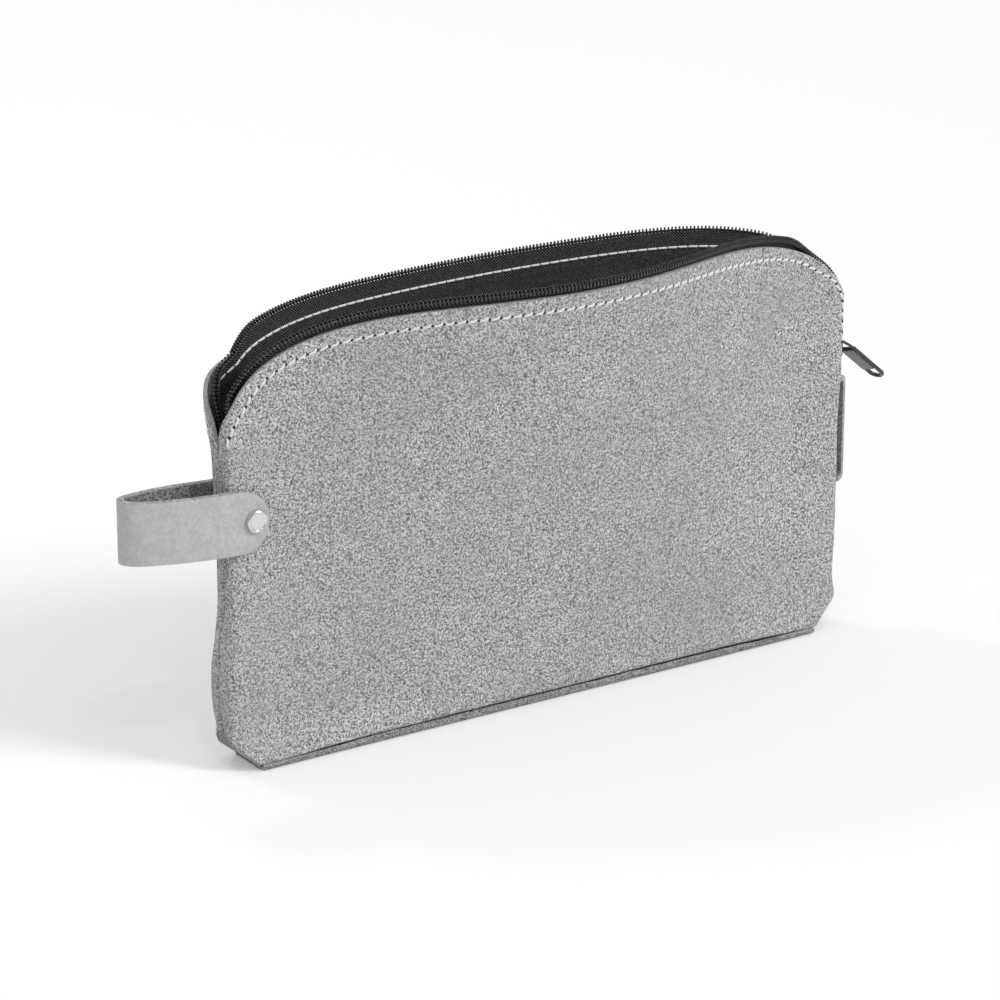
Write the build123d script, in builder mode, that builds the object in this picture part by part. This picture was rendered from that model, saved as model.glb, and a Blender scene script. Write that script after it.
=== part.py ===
from build123d import *
import os
from collections import namedtuple
from math import atan2, copysign, cos, degrees, hypot, radians, sin, sqrt

os.makedirs("parts", exist_ok=True)

# A soft zip pouch standing open. X runs along the bag, the front faces -Y, Z is up, and the
# origin is the middle of the face that it rests on.

# Driving dimensions of the bag, in millimetres
side_half_length = 129.0      # middle of the bag to the side seam
zip_end_inset = 2.0           # side seam to the end of the zip
base_end_inset = 11.0         # side seam to the end of the base
base_half_depth = 10.0        # the base is this deep each side of the middle
base_end_half_depth = 9.0     # and this deep at its two ends
base_rim = 3.0                # the base turns up this far, to its seam
corner_height = 20.0          # top of the slanting bottom corners
corner_half_depth = 7.5       # half thickness of the bag there
end_half_depth = 6.0          # half thickness of the bag along its side seams
full_end_height = 50.0        # from here up the side seams are that thin
flat_zone = 22.0              # flat part of each panel beside the side seam
flat_margin = 3.0             # this part reaches so far above the hand loop
end_corner_radius = 3.2       # rounding where a panel turns in to the side seam
front_height = 157.5
back_height = 150.0
shoulder_height = 123.0       # where the top edge leaves the ends of the bag
narrow_from = 92.0            # the bag narrows from the seam to the zip in this stretch
narrow_to = 98.0
front_mouth_depth = 36.0      # middle plane to the open front edge
back_mouth_depth = 32.5
front_mouth_flat = 4.0        # flat part beside the zip's ends, at the top of the form
back_mouth_flat = 4.0
front_fullness = 2.0          # seen from above, small is a full curve, large a pointed one
back_fullness = 0.8
base_fullness = 1.2
front_shoulder_power = 3.7    # seen from the front, large is a squarer top edge
back_shoulder_power = 6.4
left_slot_bottom = 115.0      # side seam ends here, and the zip starts
right_slot_bottom = 99.5

# Thicknesses and the layers that lie behind the outer face
leather = 1.5
layer_gap = 0.15
lining_thickness = 0.5
tape_thickness = 0.6
seam_allowance = 13.0         # zip tape hidden behind the leather
tape_show = 4.0               # zip tape standing above the leather edge
tape_edge_inset = 0.3         # coil's inner side to the edge of its tape
tape_run_down = 6.0           # tape carried on below the ends of the zip
lining_gap = 0.3              # lining to the tape's edge and to the base
lining_lift = 0.4
base_end_gap = 1.2            # base lining to the ends of the base
base_edge_radius = 2.4

# Zip coil, filler cord and stops
coil_start = 1.8              # leather edge to the coil
coil_height = 2.6
coil_thickness = 2.4
coil_half_gap = 0.6           # half the gap between the two coils at the zip's ends
cord_inset = 0.75             # coil wall round its filler cord
cord_clearance = 0.05
stop_length = 2.4
stop_wall = 0.45
stop_clearance = 0.05
stop_lift = 0.3
coil_end_gap = 0.3

# Stitching
stitch_inset = 5.0            # leather edge to the stitch line
thread_width = 0.6
thread_height = 0.3

# Slider and pull
slider_length = 11.0
slider_wing = 1.2
slot_clearance = 0.45         # slider to the leather edges beside it
inner_wing_clearance = 0.2    # inner wing to the bends of the tapes
slider_gap = 0.25
flange_wall = 0.7
flange_depth = 2.1
divider_half = 0.35
divider_length = 6.0
bridge_length = 8.0
bridge_height = 2.5
bridge_width = 1.8
bridge_wall = 0.75
bridge_foot = 1.2
pull_length = 26.8            # hinge to tip
pull_width = 6.8
pull_thickness = 1.7
pull_bar_radius = 0.5
pull_slot_width = 2.6
pull_slot_length = 5.2
pull_neck_length = 6.4
pull_neck_thickness = 1.1
pull_web_recess = 0.45
pull_drop_angle = 41.0        # below level, as it hangs over the side loop
pull_window_length = 6.5
pull_window_width = 3.4
slider_corner_radius = 1.4
slider_stop_gap = 0.3
pull_bar_gap = 0.25
pull_frame = 1.2

# Hand loop and its rivets
strap_thickness = 2.6
strap_width = 22.0
strap_height = 91.0           # middle of the strap above the floor
strap_end_inset = 13.8        # side seam to the riveted end
strap_knee_out = 2.0          # the legs start to close this far outside the side seam
strap_fold_out = 37.2         # side seam to the outside of the fold
strap_fold_radius = 3.6       # of the middle of the strap
strap_knee_radius = 30.0
strap_end_straight = 0.6      # half the straight part of its rounded end
strap_clearance = 0.3
rivet_inset = 8.7             # side seam to the rivets
rivet_cap_radius = 4.0
rivet_cap_height = 1.7
rivet_post_radius = 1.4
rivet_hole_clearance = 0.2
rivet_dome_share = 0.6
rivet_post_seat = 0.8
rivet_flange_height = 1.2

# Side loop
side_loop_angle = 30.0        # it sits on the back corner of the right end, turned this far
side_loop_bottom = 55.0
side_loop_top = 98.0
side_loop_width = 12.0
side_loop_thickness = 2.2
side_loop_standoff = 2.8
side_loop_bend = 3.2
side_loop_seat_gap = 0.25
bar_stitch_inset = 5.5
bar_stitch_length = 8.0

# Lengths that follow from these, and the heights at which the plan of the bag is drawn
form_margin = 12.5            # the form reaches so far above the top edge
zip_half_length = side_half_length - zip_end_inset
base_half_length = side_half_length - base_end_inset
flat_top = strap_height + strap_width / 2 + flat_margin
top_of_form = max(front_height, back_height) + form_margin
plan_heights = [base_rim, corner_height, full_end_height, narrow_from, narrow_to, flat_top,
                top_of_form]
reach = 60.0                  # further than any wall of the bag from its middle plane

Wall = namedtuple("Wall", "name side height mouth_depth mouth_flat fullness shoulder_power")
walls = [Wall("front", -1, front_height, front_mouth_depth, front_mouth_flat, front_fullness,
              front_shoulder_power),
         Wall("back", 1, back_height, back_mouth_depth, back_mouth_flat, back_fullness,
              back_shoulder_power)]


def between(value, low, high, at_low, at_high):
    share = min(max((value - low) / (high - low), 0.0), 1.0)
    return at_low + share * (at_high - at_low)


def half_length(z):
    return between(z, narrow_from, narrow_to, side_half_length, zip_half_length)


def end_depth(z):
    if z < corner_height:
        return between(z, base_rim, corner_height, base_end_half_depth, corner_half_depth)
    return between(z, corner_height, full_end_height, corner_half_depth, end_half_depth)


def wall_curve(wall, z, inset):
    """Points of a wall's curved stretch in plan, shrunk by inset."""
    curve_half = half_length(z) - between(z, flat_top, top_of_form, flat_zone, wall.mouth_flat)
    fullness = between(z, flat_top, top_of_form, base_fullness, wall.fullness)
    slope = (wall.mouth_depth - base_half_depth) / (wall.height - base_rim)
    swell = base_half_depth + slope * (z - base_rim) - end_depth(z)
    right_shares = [0.0, 0.22, 0.42, 0.6, 0.75, 0.87, 0.95, 1.0]
    shares = [-share for share in reversed(right_shares[1:])] + right_shares
    return [(share * curve_half,
             wall.side * (end_depth(z) + swell * (1 - share**2)**fullness - inset))
            for share in shares]


def wall_form(wall, inset):
    """The space between the middle plane and one wall, shrunk by inset along the wall."""
    corner = end_corner_radius - inset
    bow = corner * cos(radians(45))
    with BuildPart() as form:
        for z in plan_heights:
            turn_x = half_length(z) - end_corner_radius
            turn_y = end_depth(z) - end_corner_radius
            points = wall_curve(wall, z, inset)
            with BuildSketch(Plane.XY.offset(z)):
                with BuildLine():
                    Spline(points)
                    for end in (-1, 1):
                        arc_start = (end * turn_x, wall.side * (turn_y + corner))
                        arc_middle = (end * (turn_x + bow), wall.side * (turn_y + bow))
                        arc_end = (end * (turn_x + corner), wall.side * turn_y)
                        Line((end * points[-1][0], points[-1][1]), arc_start)
                        ThreePointArc(arc_start, arc_middle, arc_end)
                        Line(arc_end, (arc_end[0], 0))
                    Line((-turn_x - corner, 0), (turn_x + corner, 0))
                make_face()
        loft(ruled=True)
    return form.part


def edge_point(wall, share, offset):
    """A point of the top edge in the XZ plane, share -1 to 1 along it, moved out by offset."""
    x = share * zip_half_length
    if abs(share) == 1:
        return x + share * offset, shoulder_height
    rise = wall.height - shoulder_height
    root = sqrt(1 - abs(share)**wall.shoulder_power)
    fall = rise * wall.shoulder_power * abs(share)**(wall.shoulder_power - 1)
    slope = -copysign(fall, share) / (2 * root * zip_half_length)
    step = offset / hypot(slope, 1)
    return x - slope * step, shoulder_height + rise * root + step


def edge_points(wall, offset):
    right_shares = [0.0, 0.3, 0.55, 0.75, 0.87, 0.94, 0.98, 1.0]
    shares = [-share for share in reversed(right_shares[1:])] + right_shares
    return [edge_point(wall, share, offset) for share in shares]


def panel_outline(wall, bottom, top_offset, inset):
    """The part of the bag's face below its top edge, cut at the slanting corners."""
    slant = (side_half_length - base_half_length) / (corner_height - base_rim)
    wide = side_half_length + seam_allowance
    corner_x = base_half_length - inset + slant * (bottom - base_rim)
    corner_top = bottom + (wide - corner_x) / slant
    top = edge_points(wall, top_offset)
    with BuildSketch() as outline:
        with BuildLine():
            Spline(top)
            Polyline(top[-1], (wide, top[-1][1]), (wide, corner_top), (corner_x, bottom),
                     (-corner_x, bottom), (-wide, corner_top), (-wide, top[0][1]), top[0])
        make_face()
    return outline.sketch


def band_outline(wall, inner_offset, outer_offset, left_bottom, right_bottom, wide):
    """A band that follows the top edge and runs down both ends, out to wide from the middle."""
    outer = edge_points(wall, outer_offset)
    inner = edge_points(wall, inner_offset)
    with BuildSketch() as outline:
        with BuildLine():
            Spline(outer)
            Polyline(outer[-1], (wide, outer[-1][1]), (wide, right_bottom),
                     (inner[-1][0], right_bottom), inner[-1])
            Spline(inner)
            Polyline(inner[0], (inner[0][0], left_bottom), (-wide, left_bottom),
                     (-wide, outer[0][1]), outer[0])
        make_face()
    return outline.sketch


def finish(name, part):
    part.label = name
    export_step(part, f"parts/{name}.step")


slot_middle = side_half_length
coil_outer_y = coil_half_gap + coil_height
slider_half_width = coil_outer_y + slider_gap + flange_wall
zip_slot_half = slider_half_width + slot_clearance
rivet_x = rivet_inset - side_half_length
band_reach = side_half_length + seam_allowance
stitch_reach = zip_half_length - stitch_inset + layer_gap
rivet_outer_y = end_half_depth + strap_clearance + strap_thickness + strap_clearance
rivet_inner_y = end_half_depth - leather - layer_gap - lining_thickness - layer_gap
rivet_hole = rivet_post_radius + rivet_hole_clearance
left_tape_bottom = left_slot_bottom - tape_run_down
right_tape_bottom = right_slot_bottom - tape_run_down
left_coil_bottom = left_slot_bottom + coil_end_gap
right_coil_bottom = right_slot_bottom + coil_end_gap
coil_end_top = shoulder_height + coil_start + coil_height


def zip_slots():
    """The gaps between the leather edges at both ends of the zip."""
    with BuildPart() as slots:
        for end, bottom in ((-1, left_slot_bottom), (1, right_slot_bottom)):
            with Locations((end * slot_middle, 0, bottom)):
                Box(flat_zone, 2 * zip_slot_half, top_of_form - bottom,
                    align=(Align.CENTER, Align.CENTER, Align.MIN))
    return slots.part


def middle_gap(half_gap):
    """A slab that keeps the two halves of the zip apart."""
    with BuildPart() as gap:
        with Locations((0, 0, base_rim)):
            Box(4 * side_half_length, 2 * half_gap, top_of_form,
                align=(Align.CENTER, Align.CENTER, Align.MIN))
    return gap.part


def coil_space(wall, inset):
    """The room that a coil fills: along the top edge, and down both ends of the bag."""
    with BuildPart() as space:
        with BuildSketch(Plane.XZ):
            add(band_outline(wall, coil_start + inset, coil_start + coil_height - inset,
                             left_slot_bottom, left_slot_bottom, band_reach))
        extrude(amount=-wall.side * reach)
        for end, bottom in ((-1, left_coil_bottom), (1, right_coil_bottom)):
            low = bottom + inset
            middle_y = wall.side * (coil_half_gap + coil_height / 2)
            with Locations((end * slot_middle, middle_y, low)):
                Box(flat_zone, coil_height - 2 * inset, coil_end_top - inset - low,
                    align=(Align.CENTER, Align.CENTER, Align.MIN))
        with Locations((0, 0, base_rim)):
            Box(4 * side_half_length, 2 * (coil_half_gap + inset), top_of_form,
                align=(Align.CENTER, Align.CENTER, Align.MIN), mode=Mode.SUBTRACT)
    return space.part


def layer(space, wall, outer_inset, inner_inset):
    """What a space takes out of one wall of the bag, between two insets."""
    with BuildPart() as piece:
        add(space)
        add(wall_form(wall, outer_inset), mode=Mode.INTERSECT)
        add(wall_form(wall, inner_inset), mode=Mode.SUBTRACT)
    return piece.part


slots = zip_slots()
tape_gap = middle_gap(coil_half_gap + tape_edge_inset)
thread_gap = middle_gap(end_half_depth - end_corner_radius)
lining_outside = leather + layer_gap
tape_inside = lining_outside + tape_thickness
bobbin_outside = tape_inside + layer_gap
coil_outside = leather - coil_thickness
bore_outside = coil_outside + cord_inset
bore_inside = leather - cord_inset

for wall in walls:
    through = -wall.side * reach

    # Leather panel, with the hole for its rivet
    with BuildPart() as panel_space:
        with BuildSketch(Plane.XZ):
            add(panel_outline(wall, base_rim, 0, 0))
            with Locations((rivet_x, strap_height)):
                Circle(rivet_hole, mode=Mode.SUBTRACT)
        extrude(amount=through)
        add(slots, mode=Mode.SUBTRACT)
    finish(f"{wall.name}_panel", layer(panel_space.part, wall, 0, leather))

    # Fabric lining below the zip tape
    with BuildPart() as lining_space:
        with BuildSketch(Plane.XZ):
            add(panel_outline(wall, base_rim + lining_lift, -seam_allowance - lining_gap,
                              lining_gap))
            add(band_outline(wall, -seam_allowance - lining_gap, tape_show,
                             left_tape_bottom - lining_gap, right_tape_bottom - lining_gap,
                             band_reach), mode=Mode.SUBTRACT)
            with Locations((rivet_x, strap_height)):
                Circle(rivet_hole, mode=Mode.SUBTRACT)
        extrude(amount=through)
    finish(f"{wall.name}_lining", layer(lining_space.part, wall, lining_outside,
                                        lining_outside + lining_thickness))

    # Zip tape, sewn behind the leather edge
    with BuildPart() as tape_space:
        with BuildSketch(Plane.XZ):
            add(band_outline(wall, -seam_allowance, tape_show, left_tape_bottom,
                             right_tape_bottom, band_reach))
        extrude(amount=through)
        add(tape_gap, mode=Mode.SUBTRACT)
    finish(f"{wall.name}_zip_tape", layer(tape_space.part, wall, lining_outside, tape_inside))

    # Zip coil, a hollow strip, and the filler cord inside it
    with BuildPart() as coil:
        add(layer(coil_space(wall, 0), wall, coil_outside, leather))
        add(layer(coil_space(wall, cord_inset), wall, bore_outside, bore_inside),
            mode=Mode.SUBTRACT)
    finish(f"{wall.name}_zip_coil", coil.part)
    cord_space = coil_space(wall, cord_inset + cord_clearance)
    finish(f"{wall.name}_filler_cord", layer(cord_space, wall, bore_outside + cord_clearance,
                                             bore_inside - cord_clearance))

    # Topstitching: the line of thread outside, and the same seam's thread inside the tape
    with BuildPart() as stitch_space:
        with BuildSketch(Plane.XZ):
            add(band_outline(wall, -stitch_inset - thread_width, -stitch_inset,
                             left_slot_bottom, right_slot_bottom, stitch_reach))
        extrude(amount=through)
        add(thread_gap, mode=Mode.SUBTRACT)
    with BuildPart() as stitching:
        add(layer(stitch_space.part, wall, -thread_height, 0))
        add(layer(stitch_space.part, wall, bobbin_outside, bobbin_outside + thread_height))
    finish(f"{wall.name}_topstitching", stitching.part)

    # Rivet through strap, panel and lining
    with BuildPart() as cap:
        with BuildSketch(Plane.XZ.offset(-wall.side * rivet_outer_y)):
            with Locations((rivet_x, strap_height)):
                Circle(rivet_cap_radius)
        extrude(amount=-wall.side * rivet_cap_height)
        rim = cap.faces().sort_by(Axis.Y)[0 if wall.side < 0 else -1].edges()
        fillet(rim, rivet_cap_height * rivet_dome_share)
        with BuildSketch(Plane.XZ.offset(-wall.side * rivet_outer_y)):
            with Locations((rivet_x, strap_height)):
                Circle(rivet_post_radius)
        extrude(amount=-wall.side * rivet_post_seat, mode=Mode.SUBTRACT)
    finish(f"{wall.name}_rivet_cap", cap.part)
    with BuildPart() as post:
        with BuildSketch(Plane.XZ.offset(-wall.side * (rivet_outer_y + rivet_post_seat))):
            with Locations((rivet_x, strap_height)):
                Circle(rivet_post_radius)
        extrude(amount=wall.side * (rivet_outer_y + rivet_post_seat - rivet_inner_y))
        with BuildSketch(Plane.XZ.offset(-wall.side * rivet_inner_y)):
            with Locations((rivet_x, strap_height)):
                Circle(rivet_cap_radius)
        extrude(amount=wall.side * rivet_flange_height)
    finish(f"{wall.name}_rivet_post", post.part)

# Base: one leather strip, turned up along both sides, with its ends turned up to the side seams
slant_angle = degrees(atan2(corner_height - base_rim, side_half_length - base_half_length))
slant_length = hypot(side_half_length - base_half_length, corner_height - base_rim)
with BuildPart() as base:
    with BuildSketch():
        Rectangle(2 * base_half_length, 2 * base_half_depth)
    extrude(amount=base_rim)
    long_edges = base.edges().filter_by(Axis.X).group_by(Axis.Z)[0]
    fillet(long_edges, base_edge_radius)
    with BuildSketch(Plane.XY.offset(leather)):
        Rectangle(2 * base_half_length, 2 * (base_half_depth - leather))
    extrude(amount=base_rim, mode=Mode.SUBTRACT)
    for end in (-1, 1):
        along = (end * cos(radians(slant_angle)), 0, sin(radians(slant_angle)))
        away = (end * sin(radians(slant_angle)), 0, -cos(radians(slant_angle)))
        corner_plane = Plane(origin=(end * base_half_length, 0, base_rim),
                             x_dir=(0, 1, 0), z_dir=away)
        rise = 1 if corner_plane.y_dir.Z > 0 else -1
        with BuildSketch(corner_plane):
            with BuildLine():
                Polyline((-base_end_half_depth, -rise * base_rim / 2),
                         (base_end_half_depth, -rise * base_rim / 2),
                         (corner_half_depth, rise * slant_length),
                         (-corner_half_depth, rise * slant_length), close=True)
            make_face()
        extrude(amount=leather)
finish("base_panel", base.part)

with BuildPart() as base_lining:
    with BuildSketch(Plane.XY.offset(leather + layer_gap)):
        Rectangle(2 * (base_half_length - base_end_gap),
                  2 * (base_half_depth - leather - lining_lift))
    extrude(amount=lining_thickness)
finish("base_lining", base_lining.part)

# Stops: a bridge over both coils at the right end, and one clamp on each coil at the left
stop_outer_x = zip_half_length - leather + coil_thickness + stop_clearance
stop_inner_x = zip_half_length - leather + stop_clearance
stop_outer_y = coil_outer_y + stop_clearance


def zip_stop(end, inner_y, low):
    """A clamp round the coil between inner_y and its outer side, for both coils if inner_y is 0."""
    plate_x = end * (stop_outer_x + stop_wall / 2)
    leg_x = end * (stop_inner_x + stop_outer_x) / 2
    leg_reach = stop_outer_x - stop_inner_x
    with BuildPart() as stop:
        for side in (-1, 1):
            with Locations((plate_x, side * (inner_y + stop_outer_y + stop_wall) / 2, low)):
                Box(stop_wall, stop_outer_y + stop_wall - inner_y, stop_length,
                    align=(Align.CENTER, Align.CENTER, Align.MIN))
            with Locations((leg_x, side * (stop_outer_y + stop_wall / 2), low)):
                Box(leg_reach, stop_wall, stop_length,
                    align=(Align.CENTER, Align.CENTER, Align.MIN))
    return stop.part


finish("zip_bottom_stop", zip_stop(1, 0, right_coil_bottom + stop_lift))
finish("zip_top_stops", zip_stop(-1, coil_half_gap / 2, left_coil_bottom + stop_lift))

# Slider: two wings joined by a divider, flanges on the outer wing, and a bridge for the pull
slider_bottom = right_coil_bottom + stop_lift + stop_length + slider_stop_gap
slider_middle = slider_bottom + slider_length / 2
outer_wing_x = zip_half_length - leather + coil_thickness + slider_gap
inner_wing_x = zip_half_length - leather - layer_gap - tape_thickness - slider_gap - slider_wing
inner_wing_half_width = end_half_depth - end_corner_radius - inner_wing_clearance
bridge_x = outer_wing_x + slider_wing
pull_x = bridge_x + bridge_height - bridge_wall - pull_bar_gap - pull_bar_radius
with BuildPart() as slider:
    for wing_x, half_width in ((outer_wing_x, slider_half_width),
                               (inner_wing_x, inner_wing_half_width)):
        with BuildSketch(Plane.YZ.offset(wing_x)):
            with Locations((0, slider_middle)):
                RectangleRounded(2 * half_width, slider_length, slider_corner_radius)
        extrude(amount=slider_wing)
    with BuildSketch(Plane.YZ.offset(outer_wing_x)):
        with Locations(*[(side * (slider_half_width - flange_wall / 2), slider_middle)
                         for side in (-1, 1)]):
            Rectangle(flange_wall, slider_length - 2 * slider_corner_radius)
    extrude(amount=-flange_depth)
    with BuildSketch(Plane.YZ.offset(inner_wing_x + slider_wing)):
        with BuildLine():
            top = slider_bottom + slider_length
            Polyline((0, top - divider_length), (divider_half, top - divider_length * 0.6),
                     (divider_half, top), (-divider_half, top),
                     (-divider_half, top - divider_length * 0.6), close=True)
        make_face()
    extrude(amount=outer_wing_x - inner_wing_x - slider_wing)
    with BuildSketch(Plane.XZ):
        with Locations((bridge_x, slider_middle)):
            Rectangle(bridge_height, bridge_length, align=(Align.MIN, Align.CENTER))
            Rectangle(bridge_height - bridge_wall, bridge_length - 2 * bridge_foot,
                      align=(Align.MIN, Align.CENTER), mode=Mode.SUBTRACT)
    extrude(amount=bridge_width / 2, both=True)
finish("slider_body", slider.part)

# Pull: hangs on its bar, which runs through the bridge
drop = radians(pull_drop_angle)
pull_plane = Plane(origin=(pull_x, 0, slider_middle), x_dir=(0, 1, 0),
                   z_dir=(-sin(drop), 0, -cos(drop)))
with BuildPart() as pull:
    with BuildSketch(pull_plane):
        with Locations((0, (pull_length - pull_width / 2) / 2)):
            Rectangle(pull_width, pull_length - pull_width / 2)
        with Locations((0, pull_length - pull_width / 2)):
            Circle(pull_width / 2)
    extrude(amount=pull_thickness / 2, both=True)
    neck_cut = (pull_thickness - pull_neck_thickness) / 2
    for face in (-1, 1):
        with BuildSketch(pull_plane.offset(face * pull_thickness / 2)):
            with Locations((0, pull_neck_length / 2 - pull_width / 4)):
                Rectangle(pull_width, pull_neck_length + pull_width / 2)
        extrude(amount=-face * neck_cut, mode=Mode.SUBTRACT)
        with BuildSketch(pull_plane.offset(face * pull_thickness / 2)):
            web_length = pull_length - pull_neck_length - pull_window_length - 3 * pull_frame
            with Locations((0, pull_neck_length + pull_frame + web_length / 2)):
                RectangleRounded(pull_width - 2 * pull_frame, web_length, pull_frame)
        extrude(amount=-face * pull_web_recess, mode=Mode.SUBTRACT)
    with BuildSketch(pull_plane):
        with Locations((0, pull_length - pull_frame - pull_window_length / 2)):
            RectangleRounded(pull_window_width, pull_window_length, pull_window_width * 0.48)
        with Locations((0, pull_slot_length / 2)):
            Rectangle(pull_slot_width, pull_slot_length)
    extrude(amount=pull_thickness, both=True, mode=Mode.SUBTRACT)
    with BuildSketch(Plane.XZ):
        with Locations((pull_x, slider_middle)):
            Circle(pull_bar_radius)
    extrude(amount=pull_width / 2, both=True)
finish("pull_tab", pull.part)

# Hand loop: one strap folded round the left side seam, riveted to both panels
leg_y = end_half_depth + strap_clearance + strap_thickness / 2
strap_end_x = strap_end_inset - side_half_length
strap_knee_x = -side_half_length - strap_knee_out
strap_fold_x = -side_half_length - strap_fold_out
with BuildPart() as hand_loop:
    with BuildSketch(Plane.XY.offset(strap_height - strap_width / 2)):
        with BuildLine():
            fold_x = strap_fold_x + strap_thickness / 2 + strap_fold_radius
            for side in (-1, 1):
                FilletPolyline((strap_end_x, side * leg_y), (strap_knee_x, side * leg_y),
                               (fold_x, side * strap_fold_radius), radius=strap_knee_radius)
            ThreePointArc((fold_x, -strap_fold_radius), (fold_x - strap_fold_radius, 0),
                          (fold_x, strap_fold_radius))
        trace(line_width=strap_thickness)
    extrude(amount=strap_width)
    leg_corners = hand_loop.edges().filter_by(Axis.Y).group_by(Axis.X)[-1]
    fillet(leg_corners, strap_width / 2 - strap_end_straight)
    with BuildSketch(Plane.XZ):
        with Locations((rivet_x, strap_height)):
            Circle(rivet_hole)
    extrude(amount=reach, both=True, mode=Mode.SUBTRACT)
finish("hand_loop", hand_loop.part)

# Side loop: a strap bent in at both ends, seated on the back corner of the right end
turn = radians(side_loop_angle)
out = Vector(cos(turn), sin(turn), 0)
seat_point = Vector(side_half_length - end_corner_radius + end_corner_radius * cos(turn),
                    end_half_depth - end_corner_radius + end_corner_radius * sin(turn), 0)
loop_plane = Plane(origin=seat_point, x_dir=out, z_dir=(sin(turn), -cos(turn), 0))
loop_line = side_loop_standoff + side_loop_thickness / 2
with BuildPart() as side_loop:
    with BuildSketch(loop_plane):
        with BuildLine():
            low = side_loop_bottom + side_loop_thickness / 2
            high = side_loop_top - side_loop_thickness / 2
            FilletPolyline((-side_loop_width / 2, low), (loop_line, low), (loop_line, high),
                           (-side_loop_width / 2, high), radius=side_loop_bend)
        trace(line_width=side_loop_thickness)
    extrude(amount=side_loop_width / 2, both=True)
    for wall in walls:
        add(wall_form(wall, -side_loop_seat_gap), mode=Mode.SUBTRACT)
finish("side_loop", side_loop.part)

# Bar stitches across the side loop, near both ends
with BuildPart() as bars:
    with BuildSketch(loop_plane):
        for height in (side_loop_bottom + bar_stitch_inset, side_loop_top - bar_stitch_inset):
            with Locations((side_loop_standoff + side_loop_thickness + thread_height / 2, height)):
                Rectangle(thread_height, thread_width)
    extrude(amount=bar_stitch_length / 2, both=True)
finish("side_loop_stitches", bars.part)
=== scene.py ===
from functools import partial
from math import acos, cos, hypot, pi, radians, sin, sqrt
import bmesh
import bpy
import numpy as np
from mathutils import Matrix, Vector, kdtree, noise


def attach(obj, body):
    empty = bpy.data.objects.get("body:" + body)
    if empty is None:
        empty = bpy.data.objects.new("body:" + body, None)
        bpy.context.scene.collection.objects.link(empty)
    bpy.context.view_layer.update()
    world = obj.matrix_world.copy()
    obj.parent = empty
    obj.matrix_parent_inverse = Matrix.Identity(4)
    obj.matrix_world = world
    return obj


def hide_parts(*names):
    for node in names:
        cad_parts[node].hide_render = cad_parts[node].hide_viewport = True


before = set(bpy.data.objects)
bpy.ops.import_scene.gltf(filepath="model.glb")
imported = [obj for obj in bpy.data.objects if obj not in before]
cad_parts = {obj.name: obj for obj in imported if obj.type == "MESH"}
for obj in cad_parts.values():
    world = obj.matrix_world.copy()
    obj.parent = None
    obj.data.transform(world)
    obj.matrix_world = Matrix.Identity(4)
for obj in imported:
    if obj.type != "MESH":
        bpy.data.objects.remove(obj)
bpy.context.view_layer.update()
mm = 0.001
# angles in degrees between faces from which an edge counts as hard, and is bevelled
sharpFrom, bevelFrom = 40, 50

# The open pouch: X along the bag, the front faces -Y, sizes in millimetres
bag = dict(
    widerFrom=75.0, widerTo=105.0, cornerLow=26.0, cornerHigh=62.0, cornerSoft=6.0,
    baseDepth=10.0, rim=3.0, rimDrop=1.2, rimDropFrom=0.62,
    endDepth=6.0, endDeepens=14.0, endRadius=3.2, leastRadius=0.3,
    swellSpan=(106, 130),
    flat=22.0, flatTop=104.0, formTop=170.0, baseFullness=1.2,
    shoulder=120.0, panelCorner=133.0, slotHalf=4.6,
    seamLine=((14, 0.5), (22, 3.0), (42, 2.8), (62, 0.0), (80, -1.8), (104, -1.6), (114, 0.0)),
    seamMeets=9.0, seamGroove=1.5, seamRoll=1.7, grooveFades=(-2, 4), leather=1.5,
)
walls = {
    "front": dict(name="front", side=-1, height=157.6, depth=36.6, flat=2.0, fullness=2.3,
                  power={-1: 3.7, 1: 3.7}, endSwell=0.0, lengthSwell=0.0, radiusSwell=0.0,
                  cornerSwell=0.0),
    "back": dict(name="back", side=1, height=150.0, depth=32.8, flat=7.0, fullness=0.55,
                 power={-1: 5.7, 1: 6.2}, endSwell=6.4, lengthSwell=0.9, radiusSwell=4.4,
                 cornerSwell=3.8),
}
# The two ends differ a little, as sewn bags do
ends = {
    -1: dict(sideHalf=128.6, zipHalf=129.5, baseHalf=119.6, baseDepth=10.3, cornerTop=14.5,
             cornerDepth=4.8, cornerLength=1.4, swell=1.0, slot=116.0, open=15.0, power=0.8),
    1: dict(sideHalf=127.9, zipHalf=129.4, baseHalf=115.4, baseDepth=9.4, cornerTop=19.0,
            cornerDepth=5.2, cornerLength=0.0, swell=0.0, slot=99.5, open=4.5, power=0.5),
}
# Soft waves of the leather, each with its lengths along X and Z, its seed and its height
waves = dict(broad=(48, 40, 7.0, 0.6), bottom=(9, 30, 3.0, 0.45), seam=(26, 8, 5.0, 0.3),
             bottomSpan=(3, 30), seamWidth=22, stitchDent=0.3, dentWidth=2.2,
             rivetAt=(120, 91), calmSpan=(12, 26), footSpan=(3, 8), footShare=0.4)
routeSteps = dict(left=12, top=240, right=24)


def level(value, low, high, atLow=0.0, atHigh=1.0):
    share = min(max((value - low) / (high - low), 0.0), 1.0)
    return atLow + share * (atHigh - atLow)


def ease(value, low, high, atLow=0.0, atHigh=1.0):
    share = level(value, low, high)
    return atLow + share * share * (3 - 2 * share) * (atHigh - atLow)


def between(low, high, steps):
    return [low + (high - low) * i / steps for i in range(steps + 1)]


def endOf(x):
    return 1 if x >= 0 else -1


def topSwell(end, z):
    return ends[end]["swell"] * ease(z, *bag["swellSpan"])


def lowSwell(end, z):
    top, soft = ends[end]["cornerTop"], bag["cornerSoft"]
    share = ends[end]["swell"] * ease(z, bag["cornerLow"], bag["cornerHigh"], 1, 0)
    return share * ease(z, top - soft, top + soft)


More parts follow.
